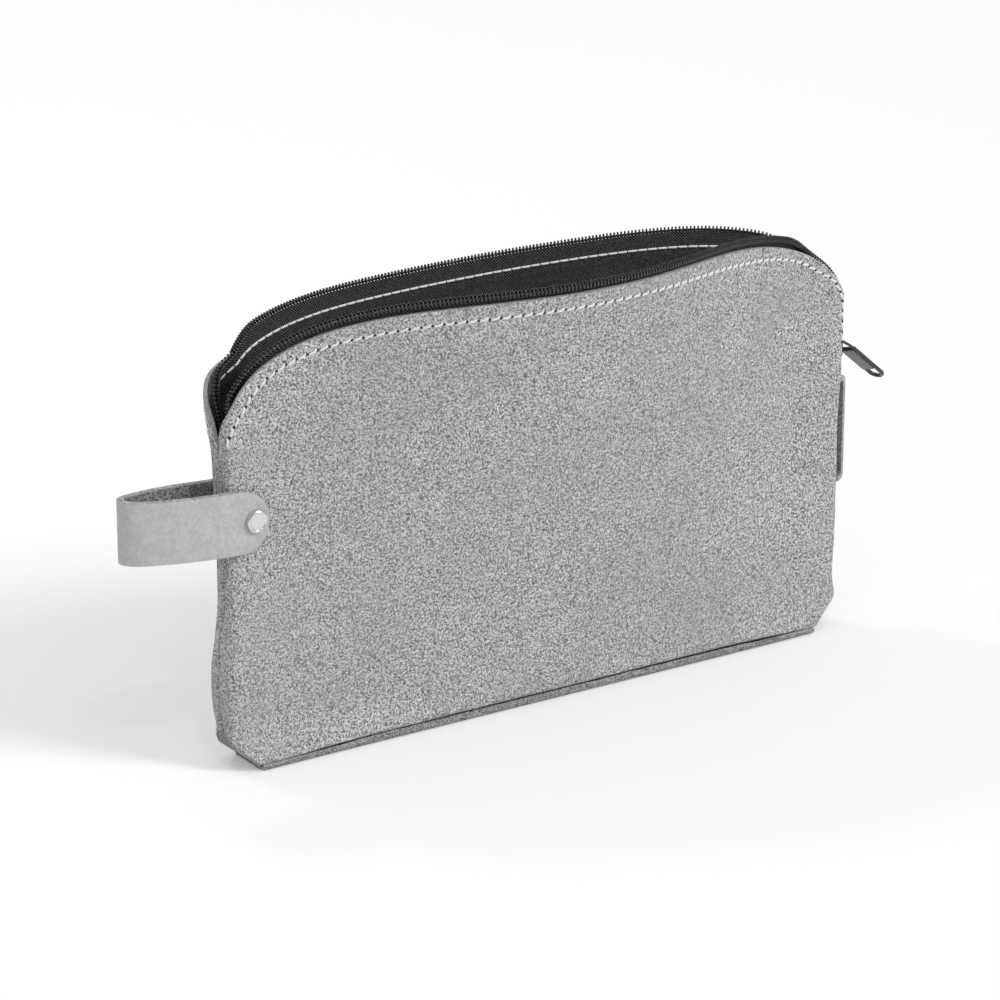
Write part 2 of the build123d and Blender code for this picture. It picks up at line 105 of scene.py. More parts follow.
def halfLength(wall, end, z):
    spot = ends[end]
    length = ease(z, bag["widerFrom"], bag["widerTo"], spot["sideHalf"], spot["zipHalf"])
    length += spot["cornerLength"] * ease(z, bag["cornerLow"], bag["cornerHigh"], 1, 0)
    return length + wall["lengthSwell"] * topSwell(end, z)


def endDepth(wall, end, z):
    spot = ends[end]
    low = level(z, bag["rim"], spot["cornerTop"], spot["baseDepth"], spot["cornerDepth"])
    depth = low + ease(z, spot["cornerTop"], spot["cornerTop"] + bag["endDeepens"], 0,
                       bag["endDepth"] - spot["cornerDepth"])
    return depth + wall["cornerSwell"] * lowSwell(end, z) + wall["endSwell"] * topSwell(end, z)


def endRadius(wall, end, z):
    return bag["endRadius"] + wall["radiusSwell"] * topSwell(end, z)


def wallDepth(wall, end, x, z):
    flat = level(z, bag["flatTop"], bag["formTop"], bag["flat"], wall["flat"])
    fullness = level(z, bag["flatTop"], bag["formTop"], bag["baseFullness"], wall["fullness"])
    slope = (wall["depth"] - bag["baseDepth"]) / (wall["height"] - bag["rim"])
    depth = endDepth(wall, end, z)
    swell = bag["baseDepth"] + slope * (z - bag["rim"]) - depth
    reach = halfLength(wall, end, z) - max(flat, endRadius(wall, end, z))
    share = min(abs(x) / reach, 1.0)
    # both halves are as deep at the middle, and each keeps its own end
    return depth + swell * (1 - share * share) ** fullness


def seamSpot(end, z):
    # how far behind the middle plane the side seam runs; it meets the zip's end in the middle
    line = bag["seamLine"]
    slot = ends[end]["slot"]
    away = ease(z, slot - bag["seamMeets"], slot, 1, 0)
    for (lowZ, lowY), (highZ, highY) in zip(line, line[1:]):
        if z <= highZ:
            return ease(z, lowZ, highZ, lowY, highY) * away
    return 0.0


def seamX(wall, end, z):
    # unrolled distance from the middle of the bag, round the end, to the side seam
    radius = endRadius(wall, end, z)
    straight = endDepth(wall, end, z) - radius - wall["side"] * seamSpot(end, z)
    return halfLength(wall, end, z) - radius + radius * pi / 2 + straight


def gapeAt(end, z):
    # half the gap between the leather edges, which close towards the end of the zip
    spot = ends[end]
    return bag["slotHalf"] * level(z, spot["slot"], spot["slot"] + spot["open"]) ** spot["power"]


def slotX(wall, end, z, gape):
    # unrolled distance to an edge beside the end of the zip
    radius = endRadius(wall, end, z)
    centre = endDepth(wall, end, z) - radius
    turn = halfLength(wall, end, z) - radius
    if gape < centre:
        return turn + radius * pi / 2 + centre - gape
    return turn + radius * acos((gape - centre) / radius)


stitchLines = {}


def waveAt(kind, side, flatX, z):
    lengthX, lengthZ, seed, height = waves[kind]
    return noise.noise(Vector((flatX / lengthX, side * seed, z / lengthZ))) * height


def swellAt(wall, flatX, z):
    # soft unevenness of the leather, positive outwards; the leather is calm round the rivets
    side = wall["side"]
    wide = waveAt("broad", side, flatX, z)
    low = waveAt("bottom", side, flatX, z) * level(z, *waves["bottomSpan"], 1, 0) ** 2
    toSeam = seamX(wall, endOf(flatX), z) - abs(flatX)
    seams = waveAt("seam", side, flatX, z) * level(toSeam, 0, waves["seamWidth"], 1, 0)
    dent = 0.0
    if wall["name"] in stitchLines:
        away = stitchLines[wall["name"]].find(Vector((flatX, 0, z)))[2]
        dent = waves["stitchDent"] * max(0.0, 1 - away / waves["dentWidth"]) ** 2
    rivetX, rivetZ = waves["rivetAt"]
    calm = level(hypot(abs(flatX) - rivetX, z - rivetZ), *waves["calmSpan"])
    foot = level(z, *waves["footSpan"], waves["footShare"], 1)
    return (wide + low + seams) * calm * foot - dent


def rimAt(flatX):
    # height of the seam along the base, lowest at its two ends
    share = abs(flatX) / ends[endOf(flatX)]["baseHalf"]
    return bag["rim"] - bag["rimDrop"] * ease(share, bag["rimDropFrom"], 1)


def wallPoint(wall, flatX, z, inset):
    end = endOf(flatX)
    radius = endRadius(wall, end, z)
    depth = endDepth(wall, end, z)
    turn = halfLength(wall, end, z) - radius
    far = abs(flatX)
    inset = inset - swellAt(wall, flatX, z)
    toSeam = seamX(wall, end, z) - far
    if z < bag["shoulder"] and toSeam < bag["seamRoll"]:
        fades = [ends[end]["slot"] + step for step in bag["grooveFades"]]
        roll = bag["seamGroove"] * (1 - max(toSeam, 0) / bag["seamRoll"]) ** 2
        inset += roll * level(z, *fades, 1, 0)
    low = rimAt(flatX)
    inset += bag["seamGroove"] * (1 - level(z, low, low + bag["seamRoll"])) ** 2
    corner = max(radius - inset, bag["leastRadius"])
    if far <= turn:
        x, y = far, wallDepth(wall, end, far, z) - inset
    elif far <= turn + radius * pi / 2:
        angle = (far - turn) / radius
        x, y = turn + corner * sin(angle), depth - radius + corner * cos(angle)
    else:
        x, y = turn + corner, depth - radius - (far - turn - radius * pi / 2)
    return Vector((end * x, wall["side"] * y, z)) * mm


# Routes on a wall are lists of (unrolled X, z), in millimetres
def zipRoute(wall, closing=True, drop=0.0):
    # along the leather edge, from the left end of the zip to the right one
    def reach(end, z):
        return slotX(wall, end, z, gapeAt(end, z) if closing else bag["slotHalf"])

    high, steps = bag["shoulder"], routeSteps["top"]
    climb = between(ends[-1]["slot"] - drop, high, routeSteps["left"])
    route = [(-reach(-1, z), z) for z in climb[:-1]]
    for i in range(steps + 1):
        t = sin((i / steps - 0.5) * pi)
        z = high + (wall["height"] - high) * sqrt(max(1 - abs(t) ** wall["power"][endOf(t)], 0))
        route.append((t * reach(endOf(t), z), z))
    descent = between(high, ends[1]["slot"] - drop, routeSteps["right"])
    return route + [(reach(1, z), z) for z in descent[1:]]


def shifted(route, offset, share=None):
    # the same route moved outwards, away from the middle of the panel
    moved = []
    for i, (x, z) in enumerate(route):
        away = offset * share(x) if share else offset
        before, after = route[max(i - 2, 0)], route[min(i + 2, len(route) - 1)]
        dx, dz = after[0] - before[0], after[1] - before[1]
        length = hypot(dx, dz)
        moved.append((x - dz / length * away, z + dx / length * away))
    return moved


def flatLine(route):
    return [(x, 0, z) for x, z in route]


def measured(points):
    run = [0.0]
    for a, b in zip(points, points[1:]):
        run.append(run[-1] + (Vector(b) - Vector(a)).length)
    return run


def pickAlong(points, run, distance):
    distance = min(max(distance, 0.0), run[-1])
    low, high = 0, len(run) - 1
    while high - low > 1:
        middle = (low + high) // 2
        if run[middle] <= distance:
            low = middle
        else:
            high = middle
    share = (distance - run[low]) / max(run[high] - run[low], 1e-9)
    return Vector(points[low]).lerp(Vector(points[high]), share)


def addObject(name, content):
    thing = bpy.data.objects.new(name, content)
    bpy.context.collection.objects.link(thing)
    return thing


def newPiece(name, mesh, body, materials, replaced=()):
    piece = addObject(name, mesh)
    for material in materials:
        mesh.materials.append(material)
    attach(piece, body)
    if replaced:
        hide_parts(*replaced)
    return piece


def settle(piece, sharpAngle=sharpFrom):
    # applies the modifiers and keeps hard edges crisp
    seen = piece.evaluated_get(bpy.context.evaluated_depsgraph_get())
    mesh = bpy.data.meshes.new_from_object(seen)
    piece.modifiers.clear()
    piece.data = mesh
    mesh.name = piece.name
    mesh.shade_smooth()
    mesh.set_sharp_from_angle(angle=radians(sharpAngle))


def meshOf(bm, name):
    mesh = bpy.data.meshes.new(name)
    bm.to_mesh(mesh)
    bm.free()
    return mesh


def layGrid(name, columns, rows, place, turnOver=False):
    # a sheet of quads; place gives a point and its place on the cloth, both in metres
    bm = bmesh.new()
    bmesh.ops.create_grid(bm, x_segments=columns, y_segments=rows, size=0.5)
    cloth = bm.loops.layers.uv.new("cloth")
    spots = {}
    for vert in bm.verts:
        vert.co, spots[vert] = place(vert.co.x + 0.5, vert.co.y + 0.5)
    for face in bm.faces:
        for loop in face.loops:
            loop[cloth].uv = spots[loop.vert]
    if turnOver:
        bmesh.ops.reverse_faces(bm, faces=bm.faces)
    return meshOf(bm, name)


def thicken(piece, thickness, shellMaterial=0, rimMaterial=0, roundEdge=0.0):
    # the sheet is the outer face, and the thickness goes in behind it
    solid = piece.modifiers.new("thickness", "SOLIDIFY")
    solid.thickness = thickness * mm
    solid.offset = -1.0
    solid.material_offset = shellMaterial
    solid.material_offset_rim = rimMaterial
    if roundEdge:
        soft = piece.modifiers.new("softEdge", "BEVEL")
        soft.width = roundEdge * mm
        soft.segments = 2
        soft.limit_method = "ANGLE"
        soft.angle_limit = radians(bevelFrom)
    settle(piece)


def tubes(name, lines, radius, material, sides=8, body="bag", replaced=(),
          smooth=False):
    # round thread or wire along each line of points, in metres
    curve = bpy.data.curves.new(name, "CURVE")
    curve.dimensions = "3D"
    curve.bevel_depth = radius * mm
    curve.bevel_resolution = max(sides // 2 - 1, 0)
    curve.use_fill_caps = True
    curve.resolution_u = 3
    for line in lines:
        spline = curve.splines.new("NURBS" if smooth else "POLY")
        spline.points.add(len(line) - 1)
        for point, spot in zip(spline.points, line):
            point.co = (*spot, 1)
        if smooth:
            spline.order_u = 3
            spline.use_endpoint_u = True
    shape = bpy.data.objects.new(name, curve)
    mesh = bpy.data.meshes.new_from_object(shape)
    mesh.shade_smooth()
    bpy.data.objects.remove(shape)
    return newPiece(name, mesh, body, [material], replaced)


# Shader helpers
def put(tree, kind, values=None, links=None, **settings):
    node = tree.nodes.new("ShaderNode" + kind)
    for key, value in settings.items():
        setattr(node, key, value)
    for key, value in (values or {}).items():
        node.inputs[key].default_value = value
    for key, socket in (links or {}).items():
        tree.links.new(socket, node.inputs[key])
    return node


def newGroup(name, inputs, outputs):
    # a place and plain numbers go in, and plain numbers come out
    tree = bpy.data.node_groups.new(name, "ShaderNodeTree")
    tree.interface.new_socket("Vector", in_out="INPUT", socket_type="NodeSocketVector")
    for key in inputs:
        tree.interface.new_socket(key, in_out="INPUT", socket_type="NodeSocketFloat")
    for key in outputs:
        tree.interface.new_socket(key, in_out="OUTPUT", socket_type="NodeSocketFloat")
    return tree, tree.nodes.new("NodeGroupInput"), tree.nodes.new("NodeGroupOutput")


def mathNode(tree, operation, a, b=None, clamp=False):
    node = put(tree, "Math", operation=operation, use_clamp=clamp)
    for index, value in enumerate((a, b)):
        if value is None:
            continue
        if isinstance(value, (int, float)):
            node.inputs[index].default_value = value
        else:
            tree.links.new(value, node.inputs[index])
    return node.outputs[0]


def mixColour(tree, factor, a, b):
    node = put(tree, "Mix", data_type="RGBA")
    for index, value in ((0, factor), (6, a), (7, b)):
        if isinstance(value, (int, float, tuple)):
            node.inputs[index].default_value = value
        else:
            tree.links.new(value, node.inputs[index])
    return node.outputs[2]


napKeys = ("Fibre Scale", "Clump Scale", "Cloud Scale")
weaveKeys = ("Rib Scale", "Slant", "Flip Width")


def napGroup():
    # short matted fibres: fine speckle, clumps and slow cloudy patches
    tree, given, result = newGroup("suedeNap", napKeys, ("Speckle", "Cloud", "Height"))
    fibre, clump, cloud = [
        put(tree, "TexNoise", {"Detail": detail, "Roughness": roughness, "Distortion": distortion},
            {"Vector": given.outputs["Vector"], "Scale": given.outputs[key]}).outputs["Fac"]
        for key, detail, roughness, distortion in (
            ("Fibre Scale", 5.0, 0.7, 0.4), ("Clump Scale", 4.0, 0.6, 0.0),
            ("Cloud Scale", 3.0, 0.5, 0.8))]
    both = mathNode(tree, "ADD", mathNode(tree, "MULTIPLY", fibre, 0.68),
                    mathNode(tree, "MULTIPLY", clump, 0.32))
    spread = put(tree, "MapRange", {"From Min": 0.44, "From Max": 0.56}, {"Value": both})
    tree.links.new(spread.outputs["Result"], result.inputs["Speckle"])
    soft = put(tree, "MapRange", {"From Min": 0.3, "From Max": 0.7}, {"Value": cloud})
    tree.links.new(soft.outputs["Result"], result.inputs["Cloud"])
    tree.links.new(both, result.inputs["Height"])
    return tree


def weaveGroup():
    # twill: slanting ribs cut by finer yarns, from a cloth map in metres
    tree, given, result = newGroup("clothWeave", weaveKeys, ("Height",))
    split = put(tree, "SeparateXYZ", links={"Vector": given.outputs["Vector"]})
    across, along = split.outputs["X"], split.outputs["Y"]
    calc = partial(mathNode, tree)
    # herringbone: the slant changes side every Flip Width
    width = calc("MAXIMUM", given.outputs["Flip Width"], 0.0001)
    zigzag = calc("PINGPONG", along, width)
    herring = calc("GREATER_THAN", given.outputs["Flip Width"], 0.0001)
    plain = calc("SUBTRACT", 1.0, herring)
    rise = calc("ADD", calc("MULTIPLY", zigzag, herring), calc("MULTIPLY", along, plain))
    slanted = calc("ADD", calc("MULTIPLY", rise, given.outputs["Slant"]), across)
    phase = calc("MULTIPLY", slanted, given.outputs["Rib Scale"])
    rib = calc("SINE", calc("MULTIPLY", phase, 2 * pi))
    yarnPhase = calc("MULTIPLY", along, given.outputs["Rib Scale"])
    yarn = calc("SINE", calc("MULTIPLY", yarnPhase, 4 * pi))
    height = calc("ADD", calc("MULTIPLY", rib, 0.35), calc("MULTIPLY", yarn, 0.12))
    tree.links.new(calc("ADD", height, 0.5), result.inputs["Height"])
    return tree


nap = napGroup()
weave = weaveGroup()


def startMaterial(name):
    material = bpy.data.materials.new(name)
    material.use_nodes = True
    tree = material.node_tree
    shader = tree.nodes["Principled BSDF"]
    place = put(tree, "TexCoord")
    return material, tree, shader, place


def setSockets(shader, values):
    for key, value in values.items():
        shader.inputs[key].default_value = value


def addBump(tree, shader, height, strength, distance):
    bump = put(tree, "Bump", {"Strength": strength, "Distance": distance * mm}, {"Height": height})
    tree.links.new(bump.outputs["Normal"], shader.inputs["Normal"])


def napMaterial(name, look):
    material, tree, shader, place = startMaterial(name)
    fibres = put(tree, "Group", node_tree=nap)
    tree.links.new(place.outputs["Object"], fibres.inputs["Vector"])
    setSockets(fibres, {key: look[key] for key in napKeys})
    grain = mixColour(tree, fibres.outputs["Speckle"], look["dark"], look["light"])
    cloud = mathNode(tree, "MULTIPLY", fibres.outputs["Cloud"], look["cloud"])
    tone = mixColour(tree, cloud, grain, look["shade"])
    tree.links.new(tone, shader.inputs["Base Color"])
    setSockets(shader, {"Roughness": look["roughness"], "Specular IOR Level": 0.2,
                        "Sheen Weight": look["sheen"], "Sheen Roughness": 0.55})
    addBump(tree, shader, fibres.outputs["Height"], look["bump"], look["depth"])
    return material


def clothMaterial(name, look):
    material, tree, shader, place = startMaterial(name)
    cloth = put(tree, "Group", node_tree=weave)
    tree.links.new(place.outputs["UV"], cloth.inputs["Vector"])
    setSockets(cloth, {key: look[key] for key in weaveKeys})
    # painted highlight: the rib tops are painted lighter, in specks, as glints on the dark weave
    glintSpeckle = put(tree, "TexNoise", {"Scale": 900.0, "Detail": 3.0},
               {"Vector": place.outputs["Object"]})
    glint = mathNode(tree, "POWER", cloth.outputs["Height"], 2.2)
    speckledGlint = mathNode(tree, "MULTIPLY", glint, glintSpeckle.outputs["Fac"])
    tone = mixColour(tree, mathNode(tree, "MULTIPLY", speckledGlint, 1.8, clamp=True),
                     look["dark"], look["light"])
    tree.links.new(tone, shader.inputs["Base Color"])
    setSockets(shader, {"Roughness": look["roughness"], "Specular IOR Level": 0.12,
                        "Sheen Weight": look["sheen"]})
    addBump(tree, shader, cloth.outputs["Height"], look["bump"], 0.25)
    return material


def plainMaterial(name, look):
    # moulded, cast or spun surfaces with faint unevenness and small marks
    material, tree, shader, place = startMaterial(name)
    spots = put(tree, "TexNoise", {"Scale": look["scale"], "Detail": 5.0, "Roughness": 0.6},
                {"Vector": place.outputs["Object"]})
    tone = mixColour(tree, spots.outputs["Fac"], look["dark"], look["light"])
    tree.links.new(tone, shader.inputs["Base Color"])
    rough = put(tree, "MapRange", {"From Min": 0.3, "From Max": 0.7,
                                   "To Min": look["rough"][0], "To Max": look["rough"][1]},
                {"Value": spots.outputs["Fac"]})
    tree.links.new(rough.outputs["Result"], shader.inputs["Roughness"])
    setSockets(shader, {"Metallic": look.get("metal", 0.0), "Coat Weight": look.get("coat", 0.0),
                        "Coat Roughness": 0.2})
    addBump(tree, shader, spots.outputs["Fac"], look["bump"], 0.05)
    return material


def grey(value):
    return (value, value, value, 1.0)


suedeLook = {"Fibre Scale": 1950.0, "Clump Scale": 1150.0, "Cloud Scale": 22.0,
             "dark": grey(0.07), "light": grey(1.0), "cloud": 0.4, "shade": grey(0.4),
             "roughness": 0.95, "sheen": 0.12, "bump": 1.0, "depth": 1.2}
suede = napMaterial("suedeGrey", suedeLook)
# the base strip and the corner flaps: the panel suede painted darker, as painted shade for faces
# that turn down and away from the light
suedeLipShaded = napMaterial("suedeBasePaintedShade", {
    **suedeLook, "dark": grey(0.05), "light": grey(0.62), "shade": grey(0.25)})
suedeEdge = napMaterial("suedeCutEdge", {
    **suedeLook, "dark": grey(0.38), "light": grey(0.66), "shade": grey(0.5), "cloud": 0.2})
strapFlesh = napMaterial("strapFlesh", {
    "Fibre Scale": 1800.0, "Clump Scale": 950.0, "Cloud Scale": 60.0, "dark": grey(0.05),
    "light": grey(0.42), "cloud": 0.3, "shade": grey(0.16), "roughness": 0.95, "sheen": 0.2,
    "bump": 0.8, "depth": 0.5})
strapEdge = napMaterial("strapCutEdge", {
    "Fibre Scale": 1300.0, "Clump Scale": 700.0, "Cloud Scale": 90.0, "dark": grey(0.16),
    "light": grey(0.55), "cloud": 0.3, "shade": grey(0.3), "roughness": 0.85, "sheen": 0.1,
    "bump": 0.5, "depth": 0.25})
strapSkin = napMaterial("strapSmooth", {
    "Fibre Scale": 700.0, "Clump Scale": 160.0, "Cloud Scale": 45.0, "dark": grey(0.44),
    "light": grey(0.53), "cloud": 0.35, "shade": grey(0.41), "roughness": 0.62, "sheen": 0.05,
    "bump": 0.12, "depth": 0.12})
# light is the colour of the painted glints on the rib tops
clothLook = {"Slant": 1.0, "dark": grey(0.002), "light": grey(0.17), "roughness": 0.8,
             "sheen": 0.03, "bump": 0.8}
tapeCloth = clothMaterial("zipTapeWeave", {
    **clothLook, "Rib Scale": 900.0, "Flip Width": 0.0032})
liningCloth = clothMaterial("liningTwill", {**clothLook, "Rib Scale": 800.0, "Flip Width": 0.0})
coilPlastic = plainMaterial("coilPlastic", {
    "scale": 1500.0, "dark": grey(0.008), "light": grey(0.02), "rough": (0.1, 0.2), "bump": 0.1,
    "coat": 0.6})
threadWhite = plainMaterial("threadLight", {
    "scale": 4000.0, "dark": grey(0.75), "light": grey(0.93), "rough": (0.55, 0.8), "bump": 0.5})
# painted shade: near-black marks for the shade inside the needle holes, which are not cut into the
# leather
holeShade = plainMaterial("needleHoleShade", {
    "scale": 3000.0, "dark": grey(0.015), "light": grey(0.05), "rough": (0.8, 1.0), "bump": 0.2})
blackMetal = plainMaterial("blackCasting", {
    "scale": 900.0, "dark": grey(0.012), "light": grey(0.03), "rough": (0.26, 0.42),
    "bump": 0.15, "coat": 0.4})
webMetal = plainMaterial("pullWebCasting", {
    "scale": 900.0, "dark": grey(0.1), "light": grey(0.2), "rough": (0.25, 0.4), "bump": 0.3,
    "metal": 0.6})
rivetMetal = plainMaterial("rivetNickel", {
    "scale": 1200.0, "dark": grey(0.6), "light": grey(0.8), "rough": (0.2, 0.36), "bump": 0.15,
    "metal": 1.0})
print("materials made")

# Routes of the zip on both walls, and the stitch lines that dent the leather
stitch = dict(inset=5.1, leftShare=0.84, leftSpan=(70, 118), rightShare=0.68,
              rightSpan=(70, 116), tuck=0.42, tuckSpan=(116, 126), pitch=3.9, radius=0.42,
              rise=0.26, hole=0.66, insideInset=2.6, finePerStep=4)


def stitchShare(x):
    # the line runs nearer to the edge round the two shoulders
    if x < 0:
        return ease(-x, *stitch["leftSpan"], 1, stitch["leftShare"])
    near = ease(x, *stitch["rightSpan"], 1, stitch["rightShare"])
    return near - ease(x, *stitch["tuckSpan"], 0, stitch["tuck"])


for name, wall in walls.items():
    line = shifted(zipRoute(wall), -stitch["inset"], stitchShare)
    spots = []
    for a, b in zip(line, line[1:]):
        spots += list(zip(between(a[0], b[0], stitch["finePerStep"])[:-1],
                          between(a[1], b[1], stitch["finePerStep"])[:-1]))
    tree = kdtree.KDTree(len(spots))
    for count, (x, z) in enumerate(spots):
        tree.insert(Vector((x, 0, z)), count)
    tree.balance()
    stitchLines[name] = tree


def patchOf(bottom, top, left, right):
    # fills a four-sided outline on a wall; each side is a list of (unrolled X, z)
    runs = {}
    for key, side in (("bottom", bottom), ("top", top), ("left", left), ("right", right)):
        side = flatLine(side)
        runs[key] = (side, measured(side))

    def pick(key, share):
        side, run = runs[key]
        return pickAlong(side, run, share * run[-1])

    corners = [pick("bottom", 0), pick("bottom", 1), pick("top", 0), pick("top", 1)]

    def spot(u, v):
        ruled = pick("bottom", u) * (1 - v) + pick("top", u) * v
        ruled += pick("left", v) * (1 - u) + pick("right", v) * u
        ruled -= (corners[0] * (1 - u) + corners[1] * u) * (1 - v)
        ruled -= (corners[2] * (1 - u) + corners[3] * u) * v
        return ruled.x, ruled.z
    return spot


sideSteps = dict(seam=24, slot=12, base=40)
seamStep = 0.3


def sideLine(wall, end, gap, stepAt, inward, topAt, closing=True):
    # from the bottom corner up the side seam, in at the zip's end, and up to the panel's corner
    half = ends[end]["baseHalf"]
    line = [(end * (half - gap), rimAt(end * half) + gap)]
    for z in between(ends[end]["cornerTop"] + gap, stepAt, sideSteps["seam"]):
        line.append((end * (seamX(wall, end, z) - gap), z))
    for z in between(stepAt + seamStep, topAt, sideSteps["slot"]):
        gape = gapeAt(end, z) if closing else bag["slotHalf"]
        climb = level(z, bag["shoulder"], wall["height"])
        bow = (1 - climb ** 2) ** (1 / wall["power"][end])
        line.append((end * (slotX(wall, end, z, gape) * bow - inward), z))
    return line


def bottomLine(gap):
    low, high = gap - ends[-1]["baseHalf"], ends[1]["baseHalf"] - gap
    return [(x, rimAt(x) + gap) for x in between(low, high, sideSteps["base"])]


def relaxed(spot, columns, rows, rounds):
    # the patch as a grid, evened out so that no row folds over beside the zip's ends
    grid = np.array([[spot(i / columns, j / rows) for j in range(rows + 1)]
                     for i in range(columns + 1)])
    for _ in range(rounds):
        grid[1:-1, 1:-1] = (grid[:-2, 1:-1] + grid[2:, 1:-1]
                            + grid[1:-1, :-2] + grid[1:-1, 2:]) / 4
    return grid


# Leather panels
columns, rows, rounds = 250, 120, 30
for name, wall in walls.items():
    top = [spot for spot in zipRoute(wall) if spot[1] >= bag["panelCorner"]]
    left = sideLine(wall, -1, 0, ends[-1]["slot"], 0, top[0][1])
    right = sideLine(wall, 1, 0, ends[1]["slot"], 0, top[-1][1])
    grid = relaxed(patchOf(bottomLine(0), top, left, right), columns, rows, rounds)

    def place(u, v):
        x, z = (float(value) for value in grid[round(u * columns), round(v * rows)])
        return wallPoint(wall, x, z, 0), (x * mm, z * mm)

    mesh = layGrid(name + "PanelSkin", columns, rows, place, turnOver=wall["side"] > 0)
    skin = newPiece(name + "PanelSkin", mesh, "bag", [suede, suedeEdge],
                    [name + "_panel"])
    thicken(skin, bag["leather"], rimMaterial=1, roundEdge=0.3)
print("leather panels made")

# Zip tapes
tape = dict(inset=1.65, thickness=0.55, hidden=13.0, show=2.7, drawIn=0.8, drop=6.0,
            ripple=1.5, rippleLength=9.0, rippleBias=0.3, rippleBelow=0.45, sink=3.4,
            sinkSpan={("front", -1): (108, 126), ("front", 1): (98, 117),
                      ("back", -1): (103, 125), ("back", 1): (104, 119)})


def turnIn(wall, flatX):
    # 0 where the zip stands up, 1 where it has dived behind the leather near its ends
    return ease(abs(flatX), *tape["sinkSpan"][wall["name"], endOf(flatX)])


for name, wall in walls.items():
    route = zipRoute(wall, False, tape["drop"])
    upper = flatLine(shifted(route, tape["show"], lambda x: 1 - tape["drawIn"] * turnIn(wall, x)))
    lower = flatLine(shifted(route, -tape["hidden"]))
    run = measured(flatLine(route))

    def place(u, v):
        distance = u * run[-1]
        spot = pickAlong(lower, run, distance).lerp(pickAlong(upper, run, distance), v)
        wave = noise.noise(Vector((distance / tape["rippleLength"], wall["side"] * 9.0, 0.5)))
        loose = tape["ripple"] * max(wave + tape["rippleBias"], 0)
        loose *= level(v, tape["rippleBelow"], 0.0) ** 1.5
        dive = tape["sink"] * turnIn(wall, spot.x) * level(v, 0.2, 1)
        point = wallPoint(wall, spot.x, spot.z, tape["inset"] + loose + dive)
        return point, (distance * mm, v * (tape["hidden"] + tape["show"]) * mm)

    mesh = layGrid(name + "TapeCloth", 320, 14, place, turnOver=wall["side"] > 0)
    cloth = newPiece(name + "TapeCloth", mesh, "bag", [tapeCloth],
                     [name + "_zip_tape"])
    thicken(cloth, tape["thickness"])
print("zip tapes made")


def edgeFrames(wall, route, inset, pitch, start, stop, sinks):
    # evenly spaced points along a route, each with its along, up and out directions
    far = shifted(route, 0.5)
    reach = 0.4 * mm
    insets = [inset + tape["sink"] * turnIn(wall, x) * sinks for x, z in route]
    points = [wallPoint(wall, x, z, deep) for (x, z), deep in zip(route, insets)]
    ups = [wallPoint(wall, x, z, deep) for (x, z), deep in zip(far, insets)]
    run = measured(points)
    first, last = start * mm, run[-1] - stop * mm
    count = int((last - first) / (pitch * mm))
    frames = []
    for distance in between(first, last, count):
        here = pickAlong(points, run, distance)
        along = pickAlong(points, run, distance + reach) - pickAlong(points, run, distance - reach)
        along.normalize()
        up = pickAlong(ups, run, distance) - here
        up = (up - along * up.dot(along)).normalized()
        out = along.cross(up) * (1 if wall["side"] < 0 else -1)
        frames.append((here, along, up, out))
    return frames


# Zip coils: one wire wound round a filler cord, on the outer side of each tape
coil = dict(pitch=1.42, wire=0.36, up=2.9, drawIn=0.85, inset=0.42, halfWidth=1.05,
            halfDepth=0.72, perTurn=14, cord=0.42, bottom=0.5)
for name, wall in walls.items():
    route = shifted(zipRoute(wall, False), coil["up"],
                    lambda x: 1 - coil["drawIn"] * turnIn(wall, x))
    frames = edgeFrames(wall, route, coil["inset"], coil["pitch"] / coil["perTurn"],
                        coil["bottom"], coil["bottom"], 1.0)
    wire = []
    for i, (here, along, up, out) in enumerate(frames):
        angle = 2 * pi * i / coil["perTurn"]
        wide = coil["halfWidth"] * cos(angle)
        deep = coil["halfDepth"] * sin(angle)
        wire.append(here + (up * wide + out * deep) * mm)
    tubes(name + "CoilWire", [wire], coil["wire"], coilPlastic, sides=6,
          replaced=[name + "_zip_coil"])
    core = [here for here, along, up, out in frames[::coil["perTurn"]]]
    tubes(name + "CoilCord", [core], coil["cord"], coilPlastic,
          replaced=[name + "_filler_cord"])
print("zip coils made")


# Stitches through the leather edge and the tape
outsideRow = dict(length=2.5, slant=0.42, start=4.5, stop=15.0, sinks=0.0)
insideRow = dict(length=3.0, slant=0.0, start=9.0, stop=27.0, sinks=0.58)


def stitchLinesOf(wall, route, row, inset=0.0, side=1):
    # each stitch dips into the cloth at both ends and bows up between them
    frames = edgeFrames(wall, route, inset, stitch["pitch"], row["start"], row["stop"],
                        row["sinks"])
    lines, holes = [], []
    for here, along, up, out in frames:
        lean = up * row["slant"] * mm
        half = along * (row["length"] / 2 * mm)
        lift = out * (stitch["rise"] * side * mm)
        tips = here - half - lean, here + half + lean
        lines.append([tips[0] - lift * 0.9, tips[0] + lift * 0.55, here - half * 0.4 + lift,
                      here + half * 0.4 + lift, tips[1] + lift * 0.55, tips[1] - lift * 0.9])
        holes.append((here + along * (stitch["pitch"] / 2 * mm), up, out))
    return lines, holes


for name, wall in walls.items():
    route = shifted(zipRoute(wall), -stitch["inset"], stitchShare)
    outside, holes = stitchLinesOf(wall, route, outsideRow)
    route = shifted(zipRoute(wall, False), -stitch["insideInset"])
    inside, _ = stitchLinesOf(wall, route, insideRow, tape["inset"] + tape["thickness"] + 0.1, -1)
    tubes(name + "Stitches", outside + inside, stitch["radius"], threadWhite, smooth=True,
          replaced=[name + "_topstitching"])
    # dark flattened spheres set at each needle hole, as painted shade for the hole
    bm = bmesh.new()
    for centre, up, out in holes:
        frameOf = Matrix((up.cross(out), up, out)).transposed().to_4x4()
        frameOf.translation = centre - out * 0.02 * mm
        bmesh.ops.create_uvsphere(bm, u_segments=10, v_segments=6, radius=stitch["hole"] * mm,
                                  matrix=frameOf @ Matrix.Diagonal((1, 0.85, 0.5, 1)))
    mesh = meshOf(bm, name + "NeedleHoleShades")
    mesh.shade_smooth()
    newPiece(name + "NeedleHoleShades", mesh, "bag", [holeShade])
print("stitches made")

